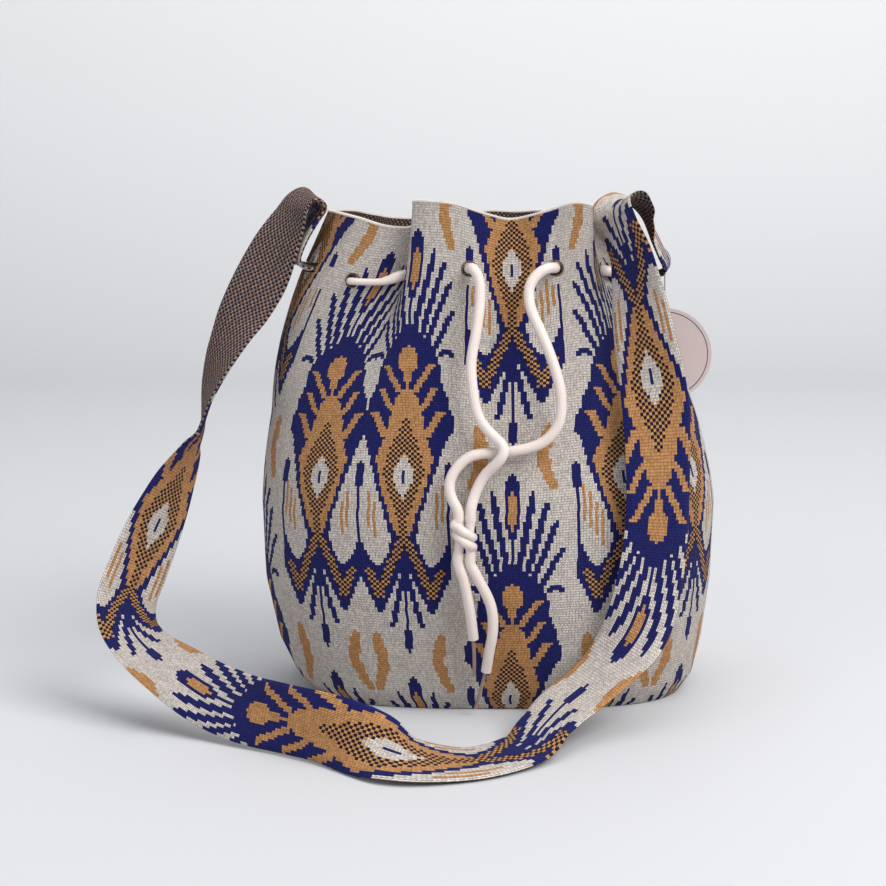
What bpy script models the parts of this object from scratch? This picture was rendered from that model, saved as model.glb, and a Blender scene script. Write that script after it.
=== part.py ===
# Knitted drawstring bucket bag with a wide knitted shoulder strap.
# Metres, +Z up, the base stands on z = 0 and the front faces -Y.

import math

import bmesh
import bpy
import numpy as np
from mathutils import Vector

# Driving dimensions
UNIT = 0.001                # metres per unit of the point tables below, which all follow it
FIT_GAP = 0.0003            # clearance between pieces that touch
WALL = 0.0026               # knitted wall
BASE_THICK = 0.0030         # stiffened base panel
RIM_HEIGHT = 0.275          # mean height of the mouth
FOLD_START = 0.125          # below this height the wall hangs without folds
FOLD_GROWTH = 2.2           # how fast the folds deepen towards the mouth
FRONT_AXIS = 0.0115         # x of the knit's front centre wale
BINDING_WIDTH = 0.0040      # bound edge of the mouth
BINDING_HEIGHT = 0.0026
BINDING_LIFT = 0.0004       # extra room where the mouth's edge tips outwards
CORD_DIAMETER = 0.0058      # drawcord
CORE_DIAMETER = 0.0020      # inner cord that shows at the drawcord's tips
HOLE_CLEARANCE = 0.0020     # hole diameter over cord diameter
STRAP_WIDTH = 0.036
STRAP_THICK = 0.0028
SLIT_CLEARANCE = 0.0024     # slit height and width over the strap's section
SLIT_DEPTH = 0.026          # depth of the slits' cutting bodies, past both faces of the wall
TAG_DIAMETER = 0.056
TAG_THICK = 0.0008
TAG_EYE = 0.0032            # hole that the string passes
STRING_DIAMETER = 0.0011

# Resolution
COLUMNS = 116
ROWS = 15
LOW_ROWS = (0.0, 0.015, 0.04, 0.08, 0.14)  # the lowest rows' shares of the height
HIGH_ROWS = 0.21            # first of the evenly spaced rows above them
OUTLINE_POINTS = 720
MOUTH_STEPS = 10
BINDING_SIDES = 6
HOLE_SIDES = 12
KNOT_SIDES = 16
TAG_SIDES = 48
CORD_RESOLUTION = 2
CREASE_ANGLE = 50           # degrees
EDGE_STEP = 0.002           # share of the height used for slopes at the wall's two edges
SLOPE_STEP = 0.03           # the same at the drawcord's holes

# Smooth body, in units: height, centre x, half width, half depth; then the oval's squareness
LEVELS = (
    (0, 5.5, 105, 61, 3.0),
    (10, 4, 114, 66, 2.8),
    (30, 1.5, 121.5, 71, 2.55),
    (65, 0, 127.5, 76, 2.4),
    (110, 0, 129, 78, 2.3),
    (125, -0.5, 127.5, 76.5, 2.3),
    (160, -2.4, 122.5, 70, 2.2),
    (185, -5.9, 120.5, 65, 2.15),
    (205, -7.4, 119.5, 60.5, 2.1),
    (240, -9.5, 117.5, 55, 2.0),
    (285, -10, 110, 50, 2.0),
)

# Gathered mouth seen from above, from the front centre towards +X, in units: x, y and height
MOUTH = (
    (11, -45, 270), (28, -50, 274), (44, -53, 279), (53, -50, 277.5),
    (52, -38, 274), (47, -27, 272), (53, -17, 270), (68, -16, 268),
    (78, -8, 266), (81, 8, 267), (74, 24, 270), (60, 36, 274),
    (46, 38, 274), (38, 27, 271), (30, 36, 271), (18, 46, 273),
    (0, 47, 274), (-12, 40, 272), (-19, 27, 270), (-27, 40, 271),
    (-42, 46, 273), (-58, 42, 273), (-66, 30, 272), (-76, 31, 272),
    (-84, 20, 272), (-90, 4, 272), (-85, -12, 272), (-72, -25, 269.5),
    (-59, -34, 266), (-48, -37, 265), (-39, -36, 266), (-31.5, -33, 267.5),
    (-26.5, -34.5, 269.5), (-26.5, -39.5, 272), (-32.5, -43.5, 275), (-40, -47.5, 278),
    (-40.5, -53, 280), (-33, -56, 280), (-20, -55, 278.5), (-3, -50, 273),
)

# Drawcord: holes' share of the height, and their places round the mouth as wale shares
HOLE_HEIGHT = 0.885
INSIDE_OFFSET = 0.0072      # cord's middle from the wall's middle, inside the bag
OUTSIDE_OFFSET = 0.0056
SLIT_LIFT = 0.0095          # how far the cord rises over the strap's ends inside
LIFT_REACH = 0.036          # distance from a strap end where that rise begins
LIFT_RAMP = 0.014           # distance over which it grows
LIFT_LEAN = 0.5             # how far the rising cord moves in, as the wall leans in above it
CORD_STEP = 3.5             # wales between the cord's route points inside
HOLES = (0.956, 0.852, 0.790, 0.612, 0.547, 0.487, 0.4525, 0.3665, 0.3145, 0.150, 0.1207, 0.045)
STOPS = (0.822, 0.580)      # where the cord lies on the outside between two holes

# Strands that hang from the two front holes down to the knot, in units
STRAND_A = (
    (-10, -62.5, 245), (-7, -63.5, 240), (-6, -66, 230), (-8, -71, 213), (-11, -75, 196),
    (-10, -78.5, 180), (-7, -81, 167), (0, -83, 158), (6.5, -87, 152), (4.5, -88, 145.5),
    (-4, -84, 136), (-9, -84.5, 126),
)
STRAND_B = (
    (31.5, -58.5, 245), (25.5, -60.5, 242.5), (20.5, -63, 236), (20, -65, 229), (21.5, -68, 222),
    (26, -72, 212), (31, -75.5, 200), (36, -79, 184), (37, -81, 170), (34.5, -81.5, 161.5),
    (28, -81.5, 154), (18, -81, 150), (5, -80.5, 148), (-9, -81.5, 147), (-17, -82, 142),
    (-22.5, -83.5, 133), (-21.5, -85.5, 124),
)
KNOT_CENTRE = (-14.5, -87, 103)
KNOT_RADIUS = 0.0078
KNOT_HEIGHT = 0.017
KNOT_RINGS = ((-1.0, 0.86), (-0.7, 1.0), (0.7, 1.0), (1.0, 0.86))  # shares of half height and radius
KNOT_GAP = 0.0005           # between the knot and the cords' cut ends
TAIL_SPREAD = 0.0066        # between the two cord ends where they meet the knot
TAIL_LEFT = ((-15, -87, 80), (-11.5, -86, 62), (-9.5, -83.5, 46))
TAIL_RIGHT = ((-8, -87, 82), (-0.5, -86, 66), (1, -85, 52), (-1, -83, 38), (-2.5, -80.5, 27))
CORE_LEFT = ((-9, -82, 35), (-9, -79.5, 24))
CORE_RIGHT = ((-5.5, -78, 15), (-8, -74, 4))

# Strap: x, y, z of its middle in units, and the heading and tilt of its width in degrees
STRAP = (
    (-99, 4, 206, -87, 0), (-96.5, 4, 220, -86, 0), (-93, 4, 231, -85, 0),
    (-90.5, 3.5, 238, -84, 0), (-93, 2.5, 241.2, -83, 0), (-101.5, 0.5, 241.6, -81, 0),
    (-107.5, -2, 243.2, -78, 0), (-109.5, -3.5, 248, -77, 0), (-105.5, -4, 258, -77, 0),
    (-99.5, -4, 269, -76, -2), (-95.8, -4, 279, -74, -6), (-101, -5, 283.5, -72, -10),
    (-108, -6, 279, -70, -14), (-113, -7, 268, -60, -20), (-120, -10, 254, -46, -22),
    (-128, -14, 236, -34, -21), (-137, -18, 219, -38, -17), (-144, -22, 206, -49, -11),
    (-151, -26, 191, -62, -9), (-157, -30, 173, -76, -7), (-161, -34, 153, -89, -3),
    (-166, -37, 143, -102, 6), (-172, -40, 131, -116, 12), (-179, -45, 116, -130, 16),
    (-187, -50, 98, -143, 18), (-195, -56, 78, -149, 18), (-200, -63, 63, -146, 12),
    (-198, -72, 50, -138, 0), (-188, -81, 40, -128, -14), (-171, -92, 31, -120, -32),
    (-152, -105, 23, -112, -48), (-131, -121, 19, -102, -64), (-108, -137, 18.6, -92, -76),
    (-86, -152, 18.4, -86, -74), (-63, -165, 14.6, -82, -50), (-42, -170, 8.6, -80, -22),
    (-15, -163, 3.8, -86, -6), (5, -151, 3.0, -88, -4), (18, -139, 4.8, -88, -8),
    (27, -125, 10, -84, -12), (38, -112, 17, -74, -16), (52, -101, 25, -62, -16),
    (67, -92, 37, -40, -10), (79, -86, 54, -12, -3), (86, -80, 78, 6, 0),
    (89.5, -76, 106, 12, 0), (90, -74, 133, 12, 0), (89, -72, 162, 2, -2),
    (86, -70, 187, -18, -2), (82, -68, 207, -30, 2), (78.5, -62, 230, -44, 4),
    (75, -57, 249, -56, 4), (70, -49, 264, -66, 2), (68, -41, 276, -72, 0),
    (71, -32, 284, -78, 0), (78, -23, 283.5, -84, 0), (85, -16, 275, -92, 0),
    (90.5, -10, 263, -99, 0), (96, -6, 252, -101, 0), (100, -3.5, 243.5, -101, 0),
    (98.5, -2, 238.6, -101, 0), (92, -0.4, 236.8, -101, 0), (84, 2, 236.4, -101, 0),
    (79, 3, 233.8, -101, 0), (78.5, 3, 229, -100, 0), (83, 3, 218, -98, 0), (87, 3, 205, -94, 0),
)
SLITS = ((-101.5, 1, 241.9, 6), (92, -0.4, 237.0, -11))  # middle in units, and heading

TAG_CENTRE = (107, 50, 185)
TAG_HEADING = -6            # degrees, from facing the front
EYE_RISE = 0.022            # tag's middle to its eye
STRING_PATH = ((101.0, 14.5, 249), (103, 25, 244), (105, 38, 226), (106.3, 47, 210.5))
STRING_BEHIND = 0.003       # string's end behind the tag
EYE_CUT = 0.004             # half the length of the eye's cutting body

# Plain colour and roughness of each finish
LOOKS = {
    "knit": ((0.62, 0.56, 0.50), 0.9),
    "base_fabric": ((0.60, 0.54, 0.48), 0.9),
    "binding": ((0.72, 0.64, 0.56), 0.8),
    "strap_knit": ((0.45, 0.38, 0.36), 0.9),
    "drawcord": ((0.80, 0.68, 0.60), 0.5),
    "cord_core": ((0.35, 0.24, 0.18), 0.8),
    "tag_card": ((0.61, 0.51, 0.50), 0.7),
    "string": ((0.75, 0.72, 0.68), 0.8),
    "cutting_body": ((1.0, 0.0, 0.0), 1.0),
}


def material(name):
    """A plain Principled material from the table of looks."""
    colour, roughness = LOOKS[name]
    made = bpy.data.materials.new(name)
    made.use_nodes = True
    shader = made.node_tree.nodes["Principled BSDF"]
    shader.inputs["Base Color"].default_value = (*colour, 1.0)
    shader.inputs["Roughness"].default_value = roughness
    shader.inputs["Metallic"].default_value = 0.0
    return made


def mesh_object(name, verts, faces, look):
    """A mesh object with its faces turned outward."""
    mesh = bpy.data.meshes.new(name)
    mesh.from_pydata([tuple(v) for v in verts], [], faces)
    shape = bmesh.new()
    shape.from_mesh(mesh)
    bmesh.ops.recalc_face_normals(shape, faces=shape.faces)
    shape.to_mesh(mesh)
    shape.free()
    mesh.shade_smooth()
    mesh.set_sharp_from_angle(angle=math.radians(CREASE_ANGLE))
    mesh.materials.append(look)
    made = bpy.data.objects.new(name, mesh)
    bpy.context.collection.objects.link(made)
    return made


def catmull(points, steps, loop):
    """A smooth curve through points, with a fixed number of steps between two of them."""
    p = np.array(points, float)
    count = len(p)
    spans = count if loop else count - 1
    out = []
    for i in range(spans):
        ids = [i - 1, i, i + 1, i + 2]
        if loop:
            ids = [k % count for k in ids]
        else:
            ids = [min(max(k, 0), count - 1) for k in ids]
        a, b, c, d = (p[k] for k in ids)
        for s in np.linspace(0, 1, steps, endpoint=False):
            out.append(0.5 * (2 * b + (c - a) * s + (2 * a - 5 * b + 4 * c - d) * s**2
                              + (3 * b - a - 3 * c + d) * s**3))
    if not loop:
        out.append(p[-1])
    return np.array(out)


def along(points, count, loop, plan=False):
    """Points at even distances along a polyline, measured in plan or in space."""
    p = np.array(points, float)
    if loop:
        p = np.vstack([p, p[:1]])
    flat = p[:, :2] if plan else p[:, :3]
    run = np.concatenate([[0], np.cumsum(np.linalg.norm(np.diff(flat, axis=0), axis=1))])
    want = np.linspace(0, run[-1], count, endpoint=not loop)
    return np.column_stack([np.interp(want, run, p[:, k]) for k in range(p.shape[1])])


def oval(height):
    """The smooth body's outline at a height, from the front centre wale round by +X."""
    table = np.array(LEVELS)
    table[:, :4] *= UNIT
    cx, a, b, power = (np.interp(height, table[:, 0], table[:, k]) for k in range(1, 5))
    turn = np.radians(np.linspace(-90, 270, OUTLINE_POINTS, endpoint=False))
    x = cx + a * np.sign(np.cos(turn)) * np.abs(np.cos(turn)) ** (2 / power)
    y = b * np.sign(np.sin(turn)) * np.abs(np.sin(turn)) ** (2 / power)
    first = int(np.argmin(np.where(y < 0, np.abs(x - FRONT_AXIS), np.inf)))
    return along(np.roll(np.column_stack([x, y]), -first, axis=0), COLUMNS, True, True)


def mouth():
    """The gathered mouth's outline, one point per wale."""
    return along(catmull(np.array(MOUTH) * UNIT, MOUTH_STEPS, True), COLUMNS, True, True)


def wall_rows(heights):
    """The wall's middle surface: one closed row of points for each share of its height."""
    top = mouth()
    rows = []
    for share in heights:
        z = share * RIM_HEIGHT
        fold = max(0.0, (z - FOLD_START) / (RIM_HEIGHT - FOLD_START)) ** FOLD_GROWTH
        flat = oval(z)
        row = flat * (1 - fold) + top[:, :2] * fold
        level = share * (RIM_HEIGHT + (top[:, 2] - RIM_HEIGHT) * share)
        rows.append(np.column_stack([row, level]))
    return np.array(rows)


def outward(rows):
    """Unit normals of the wall's middle surface, pointing out of the bag."""
    across = np.roll(rows, -1, axis=1) - np.roll(rows, 1, axis=1)
    up = np.gradient(rows, axis=0)
    normal = np.cross(across, up)
    return normal / np.linalg.norm(normal, axis=2, keepdims=True)


def wall_levels():
    """Shares of the height where the wall has a row, closer together near the base."""
    high = np.linspace(HIGH_ROWS, 1.0, ROWS - len(LOW_ROWS))
    return np.concatenate([LOW_ROWS, high])


def shell(rows, thick):
    """Vertices and faces of a closed band of wall with its thickness."""
    normal = outward(rows)
    count, round_ = rows.shape[:2]
    skins = [(rows + normal * side * thick / 2).reshape(-1, 3) for side in (1, -1)]
    skins[0][:round_, 2] = skins[1][:round_, 2] = rows[0, 0, 2]
    faces = []
    inner = count * round_
    for i in range(count - 1):
        for j in range(round_):
            k = (j + 1) % round_
            quad = (i * round_ + j, i * round_ + k, (i + 1) * round_ + k, (i + 1) * round_ + j)
            faces.append(quad)
            faces.append(tuple(inner + q for q in reversed(quad)))
    for i in (0, count - 1):
        for j in range(round_):
            k = (j + 1) % round_
            faces.append((i * round_ + j, inner + i * round_ + j, inner + i * round_ + k, i * round_ + k))
    return np.vstack(skins), faces


def cutter(name, verts, faces):
    """A hidden cutting body."""
    made = mesh_object(name, verts, faces, material("cutting_body"))
    made.hide_render = True
    made.display_type = "WIRE"
    return made


def rod(start, end, radius, sides):
    """Vertices and faces of a round bar from start to end."""
    a, b = Vector(start), Vector(end)
    axis = (b - a).normalized()
    side = axis.orthogonal().normalized()
    other = axis.cross(side)
    verts = []
    for centre in (a, b):
        for k in range(sides):
            turn = 2 * math.pi * k / sides
            verts.append(centre + (side * math.cos(turn) + other * math.sin(turn)) * radius)
    faces = [tuple(range(sides)), tuple(reversed(range(sides, 2 * sides)))]
    faces += [(k, k + sides, (k + 1) % sides + sides, (k + 1) % sides) for k in range(sides)]
    return verts, faces


def block(centre, size, heading):
    """Vertices and faces of a box turned about +Z."""
    turn = (math.cos(heading), math.sin(heading))
    verts = []
    for dx in (-0.5, 0.5):
        for dy in (-0.5, 0.5):
            for dz in (-0.5, 0.5):
                x, y = dx * size[0], dy * size[1]
                verts.append((centre[0] + x * turn[0] - y * turn[1],
                              centre[1] + x * turn[1] + y * turn[0], centre[2] + dz * size[2]))
    faces = [(0, 1, 3, 2), (4, 6, 7, 5), (0, 4, 5, 1), (2, 3, 7, 6), (0, 2, 6, 4), (1, 5, 7, 3)]
    return verts, faces


def cut(target, tool):
    """Subtract a hidden body from a piece."""
    step = target.modifiers.new(tool.name, "BOOLEAN")
    step.operation = "DIFFERENCE"
    step.solver = "EXACT"
    step.object = tool


def base_panel():
    """The flat panel inside the foot of the wall, standing on the floor."""
    outline = wall_rows([0.0, EDGE_STEP])
    inset = WALL / 2 + FIT_GAP
    edge = outline[0] - outward(outline)[0] * inset
    verts = [(x, y, 0.0) for x, y, _ in edge] + [(x, y, BASE_THICK) for x, y, _ in edge]
    count = len(edge)
    faces = [tuple(range(count)), tuple(range(count, 2 * count))]
    faces += [(k, (k + 1) % count, (k + 1) % count + count, k + count) for k in range(count)]
    return mesh_object("base_panel", verts, faces, material("base_fabric"))


def rim_binding():
    """The bound edge that lies on top of the mouth."""
    top = wall_rows([1.0 - EDGE_STEP, 1.0])
    normal = outward(top)[1]
    normal[:, 2] = 0
    centre = top[1] + np.array([0, 0, FIT_GAP + BINDING_HEIGHT / 2 + BINDING_LIFT])
    verts = []
    for k in range(BINDING_SIDES):
        turn = 2 * math.pi * (k + 0.5) / BINDING_SIDES
        rise = np.array([0, 0, math.sin(turn) * BINDING_HEIGHT / 2])
        verts.append(centre + normal * math.cos(turn) * BINDING_WIDTH / 2 + rise)
    count = len(centre)
    faces = []
    for k in range(BINDING_SIDES):
        m = (k + 1) % BINDING_SIDES
        for j in range(count):
            n = (j + 1) % count
            faces.append((k * count + j, k * count + n, m * count + n, m * count + j))
    return mesh_object("rim_binding", np.vstack(verts), faces, material("binding"))


def wall_at(share_round, share_high):
    """A point of the wall's middle surface and its outward normal."""
    rows = wall_rows([share_high - SLOPE_STEP, share_high, share_high + SLOPE_STEP])
    normal = outward(rows)
    at = share_round * COLUMNS
    low = int(at) % COLUMNS
    part = at - int(at)
    high = (low + 1) % COLUMNS
    point = rows[1, low] * (1 - part) + rows[1, high] * part
    facing = normal[1, low] * (1 - part) + normal[1, high] * part
    facing[2] = 0
    return point, facing / np.linalg.norm(facing)


def cord_shares(first, second, inside):
    """Places round the mouth that the cord passes between two holes."""
    if not inside:
        return [first] + [stop for stop in STOPS if second < stop < first] + [second]
    spans = max(2, round((first - second) * COLUMNS / CORD_STEP))
    return [first + (second - first) * number / spans for number in range(spans + 1)]


def lift_over_slits(point):
    """How far the cord rises where it passes over a strap end."""
    lift = 0.0
    for x, y, _, _ in SLITS:
        away = math.hypot(point[0] - x * UNIT, point[1] - y * UNIT)
        lift = max(lift, SLIT_LIFT * min(1.0, max(0.0, (LIFT_REACH - away) / LIFT_RAMP)))
    return lift


def held_cord():
    """The drawcord's way in and out of the holes round the mouth, from the first hole to the last."""
    route = []
    inside = True
    for first, second in zip(HOLES[:-1], HOLES[1:]):
        offset = -INSIDE_OFFSET if inside else OUTSIDE_OFFSET
        route.append(wall_at(first, HOLE_HEIGHT)[0])
        for share in cord_shares(first, second, inside):
            point, facing = wall_at(share, HOLE_HEIGHT)
            point = point + facing * offset
            if inside and share not in (first, second):
                lift = lift_over_slits(point)
                point += np.array([0, 0, lift]) - facing * lift * LIFT_LEAN
            route.append(point)
        inside = not inside
    route.append(wall_at(HOLES[-1], HOLE_HEIGHT)[0])
    return route


def drawcord_route():
    """The whole drawcord from the knot up, round the mouth and back to the knot."""
    top = np.array(KNOT_CENTRE) * UNIT + np.array([0, 0, KNOT_HEIGHT / 2 + KNOT_GAP])
    side = np.array([TAIL_SPREAD / 2, 0, 0])
    up = np.array([0, 0, CORD_DIAMETER])
    first = [top + side, top + side + up] + [np.array(p) * UNIT for p in reversed(STRAND_A)]
    last = [np.array(p) * UNIT for p in STRAND_B] + [top - side + up, top - side]
    return first + held_cord() + last


def tube(name, route, diameter, look, per_span=2):
    """A round cord along a smooth curve through its route."""
    points = catmull(route, per_span, False)
    curve = bpy.data.curves.new(name, "CURVE")
    curve.dimensions = "3D"
    curve.bevel_depth = diameter / 2
    curve.bevel_resolution = CORD_RESOLUTION
    curve.use_fill_caps = True
    spline = curve.splines.new("POLY")
    spline.points.add(len(points) - 1)
    for item, point in zip(spline.points, points):
        item.co = (*point, 1.0)
    curve.materials.append(look)
    made = bpy.data.objects.new(name, curve)
    bpy.context.collection.objects.link(made)
    return made


def drawcord_holes(body):
    """Round holes through the wall where the drawcord passes."""
    radius = (CORD_DIAMETER + HOLE_CLEARANCE) / 2
    reach = OUTSIDE_OFFSET
    for number, share in enumerate(HOLES):
        point, facing = wall_at(share, HOLE_HEIGHT)
        verts, faces = rod(point - facing * reach, point + facing * reach, radius, HOLE_SIDES)
        cut(body, cutter(f"cut_hole_{number}", verts, faces))


def strap_slits(body):
    """Flat slits through the side walls for the strap's two ends."""
    for number, (x, y, z, heading) in enumerate(SLITS):
        size = (SLIT_DEPTH, STRAP_WIDTH + SLIT_CLEARANCE, STRAP_THICK + SLIT_CLEARANCE)
        verts, faces = block((x * UNIT, y * UNIT, z * UNIT), size, math.radians(heading))
        cut(body, cutter(f"cut_slit_{number}", verts, faces))


def strap_frames(per_span):
    """The strap's middle line, width directions and facing directions."""
    path = catmull(STRAP, per_span, False)
    centre = path[:, :3] * UNIT
    yaw, tilt = np.radians(path[:, 3]), np.radians(path[:, 4])
    width = np.column_stack([np.cos(tilt) * np.cos(yaw), np.cos(tilt) * np.sin(yaw), np.sin(tilt)])
    run = np.gradient(centre, axis=0)
    run /= np.linalg.norm(run, axis=1, keepdims=True)
    width -= run * np.sum(width * run, axis=1, keepdims=True)
    width /= np.linalg.norm(width, axis=1, keepdims=True)
    return centre, width, np.cross(run, width)


def shoulder_strap():
    """One flat knitted band from the left slit, over the floor in front, to the right slit."""
    centre, width, facing = strap_frames(2)
    half, thick, round_ = STRAP_WIDTH / 2, STRAP_THICK / 2, STRAP_THICK / 3
    section = ((half, -thick / 3), (half, thick / 3), (half - round_, thick), (round_ - half, thick),
               (-half, thick / 3), (-half, -thick / 3), (round_ - half, -thick), (half - round_, -thick))
    sides = len(section)
    verts = [c + w * a + f * b for c, w, f in zip(centre, width, facing) for a, b in section]
    faces = [tuple(range(sides)), tuple(range(len(verts) - sides, len(verts)))]
    for i in range(len(centre) - 1):
        for k in range(sides):
            m = (k + 1) % sides
            faces.append((i * sides + k, i * sides + m, (i + 1) * sides + m, (i + 1) * sides + k))
    return mesh_object("shoulder_strap", verts, faces, material("strap_knit"))


def cord_knot(look):
    """The tightened knot that joins the two strands above their tails."""
    x, y, z = (v * UNIT for v in KNOT_CENTRE)
    sides, count = KNOT_SIDES, len(KNOT_RINGS)
    verts = []
    for rise, reach in KNOT_RINGS:
        radius = KNOT_RADIUS * reach
        for k in range(sides):
            turn = 2 * math.pi * k / sides
            level = z + rise * KNOT_HEIGHT / 2
            verts.append((x + radius * math.cos(turn), y + radius * math.sin(turn), level))
    faces = [tuple(range(sides)), tuple(range(sides * (count - 1), sides * count))]
    for i in range(count - 1):
        for k in range(sides):
            m = (k + 1) % sides
            faces.append((i * sides + k, i * sides + m, (i + 1) * sides + m, (i + 1) * sides + k))
    return mesh_object("cord_knot", verts, faces, look)


def cord_tails(look, core_look):
    """The two free ends below the knot, each with its thin inner cord showing."""
    foot = np.array(KNOT_CENTRE) * UNIT - np.array([0, 0, KNOT_HEIGHT / 2 + KNOT_GAP])
    side = np.array([TAIL_SPREAD / 2, 0, 0])
    ends = (("left", foot - side, TAIL_LEFT, CORE_LEFT), ("right", foot + side, TAIL_RIGHT, CORE_RIGHT))
    for name, start, tail, core in ends:
        tail_points = [start, start - np.array([0, 0, CORD_DIAMETER])] + [np.array(p) * UNIT for p in tail]
        tube(f"cord_tail_{name}", tail_points, CORD_DIAMETER, look)
        run = tail_points[-1] - tail_points[-2]
        run /= np.linalg.norm(run)
        core_points = [tail_points[-1] + run * FIT_GAP] + [np.array(p) * UNIT for p in core]
        tube(f"cord_core_{name}", core_points, CORE_DIAMETER, core_look)


def hang_tag():
    """A round card with an eye near its upper edge."""
    x, y, z = (v * UNIT for v in TAG_CENTRE)
    heading = math.radians(TAG_HEADING)
    facing = Vector((math.sin(heading), -math.cos(heading), 0))
    centre = Vector((x, y, z))
    half = facing * TAG_THICK / 2
    verts, faces = rod(centre - half, centre + half, TAG_DIAMETER / 2, TAG_SIDES)
    tag = mesh_object("hang_tag", verts, faces, material("tag_card"))
    eye = centre + Vector((0, 0, EYE_RISE))
    verts, faces = rod(eye - facing * EYE_CUT, eye + facing * EYE_CUT, TAG_EYE / 2, HOLE_SIDES)
    cut(tag, cutter("cut_tag_eye", verts, faces))
    return eye, facing


def build():
    for old in list(bpy.data.objects):
        bpy.data.objects.remove(old)
    rows = wall_rows(wall_levels())
    verts, faces = shell(rows, WALL)
    body = mesh_object("bag_body", verts, faces, material("knit"))
    drawcord_holes(body)
    strap_slits(body)
    base_panel()
    rim_binding()
    shoulder_strap()
    cord_look = material("drawcord")
    tube("drawcord", drawcord_route(), CORD_DIAMETER, cord_look, 1)
    cord_knot(cord_look)
    cord_tails(cord_look, material("cord_core"))
    eye, facing = hang_tag()
    string = [np.array(p) * UNIT for p in STRING_PATH]
    string += [np.array(eye), np.array(eye - facing * STRING_BEHIND)]
    tube("tag_string", string, STRING_DIAMETER, material("string"))


build()
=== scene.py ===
# Knitted drawstring bucket bag: knit, strap, cords, tag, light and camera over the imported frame.
import functools
import math

import bmesh
import bpy
import numpy as np
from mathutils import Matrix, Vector


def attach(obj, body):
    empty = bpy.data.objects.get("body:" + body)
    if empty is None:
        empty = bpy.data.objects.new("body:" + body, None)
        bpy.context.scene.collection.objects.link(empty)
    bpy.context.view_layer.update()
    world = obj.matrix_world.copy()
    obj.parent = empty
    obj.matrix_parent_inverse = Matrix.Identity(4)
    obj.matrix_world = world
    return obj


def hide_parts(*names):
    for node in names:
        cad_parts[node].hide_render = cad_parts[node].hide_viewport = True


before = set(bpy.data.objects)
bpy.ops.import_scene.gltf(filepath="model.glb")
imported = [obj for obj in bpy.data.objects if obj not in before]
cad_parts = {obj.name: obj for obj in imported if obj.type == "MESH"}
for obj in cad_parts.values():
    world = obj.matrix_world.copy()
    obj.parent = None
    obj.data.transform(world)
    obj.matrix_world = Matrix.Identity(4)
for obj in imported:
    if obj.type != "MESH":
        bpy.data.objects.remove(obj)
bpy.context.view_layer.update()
print("frame loaded:", len(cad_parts), "nodes")


# Camera: solved from the photograph, level pan and a small tilt down

view = {"place": (-0.026, -1.054, 0.318), "tiltDown": 9.61, "lens": 36 * 1850 / 886}
cameraData = bpy.data.cameras.new("camera")
cameraData.sensor_width = 36
cameraData.lens = view["lens"]
camera = bpy.data.objects.new("camera", cameraData)
camera.location = view["place"]
camera.rotation_euler = (math.radians(90 - view["tiltDown"]), 0, 0)
bpy.context.scene.collection.objects.link(camera)
bpy.context.scene.camera = camera


# Small helpers

def linkNew(name, data):
    made = bpy.data.objects.new(name, data)
    bpy.context.scene.collection.objects.link(made)
    return made


def meshPiece(name, verts, faces, looks, lookOfFace=None, stitches=None, creaseAngle=50):
    # stitches: one (wale, course) pair for each corner of each face
    mesh = bpy.data.meshes.new(name)
    mesh.from_pydata([tuple(map(float, v)) for v in verts], [], [tuple(f) for f in faces])
    for look in looks:
        mesh.materials.append(look)
    if lookOfFace is not None:
        mesh.polygons.foreach_set("material_index", np.array(lookOfFace, dtype=np.int32))
    if stitches is not None:
        layer = mesh.uv_layers.new(name="stitches")
        layer.data.foreach_set("uv", (np.array(stitches, dtype=np.float32) / 100).ravel())
    mesh.shade_smooth()
    mesh.set_sharp_from_angle(angle=math.radians(creaseAngle))
    return linkNew(name, mesh)


def metres(points):
    return np.array(points, float) * 0.001


def turnOutwards(piece):
    shape = bmesh.new()
    shape.from_mesh(piece.data)
    bmesh.ops.recalc_face_normals(shape, faces=shape.faces)
    shape.to_mesh(piece.data)
    shape.free()


def smoothCurve(points, steps, loop=False):
    # Catmull-Rom through the points
    p = np.array(points, float)
    count = len(p)
    out = []
    for i in range(count if loop else count - 1):
        ids = [i - 1, i, i + 1, i + 2]
        ids = [k % count for k in ids] if loop else [min(max(k, 0), count - 1) for k in ids]
        a, b, c, d = (p[k] for k in ids)
        for s in np.linspace(0, 1, steps, endpoint=False):
            out.append(0.5 * (2 * b + (c - a) * s + (2 * a - 5 * b + 4 * c - d) * s**2
                              + (3 * b - a - 3 * c + d) * s**3))
    if not loop:
        out.append(p[-1])
    return np.array(out)


def lengths(points):
    return np.concatenate([[0], np.cumsum(np.linalg.norm(np.diff(points, axis=0), axis=1))])


def evenly(points, count, loop, plan=False):
    p = np.array(points, float)
    if loop:
        p = np.vstack([p, p[:1]])
    run = lengths(p[:, :2] if plan else p[:, :3])
    want = np.linspace(0, run[-1], count, endpoint=not loop)
    return np.column_stack([np.interp(want, run, p[:, k]) for k in range(p.shape[1])])


# Every piece rides the bag; most take the place of a CAD node

def standIn(piece, replaced=None):
    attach(piece, "root")
    if replaced:
        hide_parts(replaced)


# Shader helpers: each finds its tree from the sockets that it is given

def feed(socket, value):
    if isinstance(value, bpy.types.NodeSocket):
        socket.id_data.links.new(value, socket)
    else:
        socket.default_value = value


def node(tree, kind, values=(), **settings):
    made = tree.nodes.new(kind)
    for key, value in settings.items():
        setattr(made, key, value)
    for label, value in dict(values).items():
        feed(made.inputs[label], value)
    return made


def treeOf(*values):
    return next(value.id_data for value in values if isinstance(value, bpy.types.NodeSocket))


def calc(operation, *values):
    return node(treeOf(*values), "ShaderNodeMath", enumerate(values), operation=operation).outputs[0]


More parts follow.
